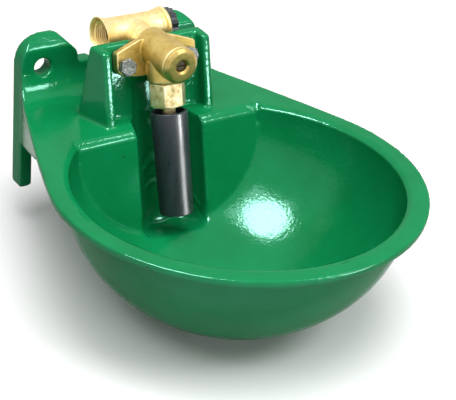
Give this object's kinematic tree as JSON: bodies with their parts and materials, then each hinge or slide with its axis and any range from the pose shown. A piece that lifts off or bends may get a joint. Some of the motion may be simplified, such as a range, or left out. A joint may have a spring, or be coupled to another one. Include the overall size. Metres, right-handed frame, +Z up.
{
  "type": "automatic drinking bowl",
  "caption": "Enamelled iron drinking bowl on a wall bracket, with a brass pipe valve opened by a hanging black push tube.",
  "frame": {"origin": "on the wall plane, midway between the axes of the two ear holes", "axes": "+Z up, -Y out from the wall towards the animal, +X to the right as seen from the front"},
  "size_m": [0.286, 0.347, 0.1843],
  "materials": {
    "green_enamel": "glossy vitreous enamel over cast iron",
    "cast_brass": "sand cast, dull",
    "turned_brass": "turned, bright",
    "zinc_steel": "zinc plated",
    "black_plastic": "moulded, satin gloss",
    "white_nylon": "moulded",
    "black_rubber": "matt",
    "stainless": "drawn"
  },
  "bodies": {
    "base": {"bowl_casting": "green_enamel", "valve_body": "cast_brass", "supply_tee": "turned_brass", "tee_ring": "black_rubber", "nose_plug": "turned_brass", "nose_seal": "black_rubber", "union_nut": "turned_brass", "pivot_ring": "white_nylon", "valve_seat": "white_nylon", "flange_gasket": "black_rubber", "flange_bolt_left": "zinc_steel", "flange_bolt_right": "zinc_steel", "flange_washer_left": "zinc_steel", "flange_washer_right": "zinc_steel", "flange_nut_left": "zinc_steel", "flange_nut_right": "zinc_steel", "end_plug": "black_plastic"},
    "rocker": {"rocker": "turned_brass", "rocker_pin": "stainless"},
    "tube": {"tube_stem": "turned_brass", "tube_hub": "white_nylon", "hub_nut": "zinc_steel", "push_tube": "black_plastic"},
    "plunger": {"plunger": "stainless", "plunger_foot": "white_nylon", "plunger_seal": "black_rubber", "return_spring": "stainless"},
    "flow_screw": {"flow_screw": "turned_brass"},
    "flow_needle": {"flow_needle": "turned_brass"}
  },
  "joints": [
    {"name": "tube_push", "type": "hinge", "parent": "base", "child": "rocker", "pos_m": [0, -0.1017, -0.0008], "axis": [1, 0, 0], "range_deg": [0, 6.5], "stiffness_Nm_per_rad": 0.2, "springref_deg": -5.73},
    {"name": "tube_side", "type": "hinge", "parent": "rocker", "child": "tube", "pos_m": [0, -0.1017, -0.0008], "axis": [0, 0.9659, -0.2588], "range_deg": [-5, 5], "stiffness_Nm_per_rad": 0.1},
    {"name": "plunger_lift", "type": "slide", "parent": "base", "child": "plunger", "axis": [0, 0.2588, 0.9659], "range_m": [0, 0.0007], "deforming": ["return_spring"]},
    {"name": "flow_turn", "type": "hinge", "parent": "base", "child": "flow_screw", "pos_m": [0, -0.1145, 0.0323], "axis": [0, 1, 0], "range_deg": [0, 1440]},
    {"name": "flow_travel", "type": "slide", "parent": "base", "child": "flow_needle", "axis": [0, 1, 0], "range_m": [0, 0.004]}
  ],
  "couplings": [
    {"joint": "plunger_lift", "follows": "tube_push", "m_per_rad": 0.00614},
    {"joint": "flow_turn", "follows": "flow_travel", "rad_per_m": 6283.2}
  ]
}
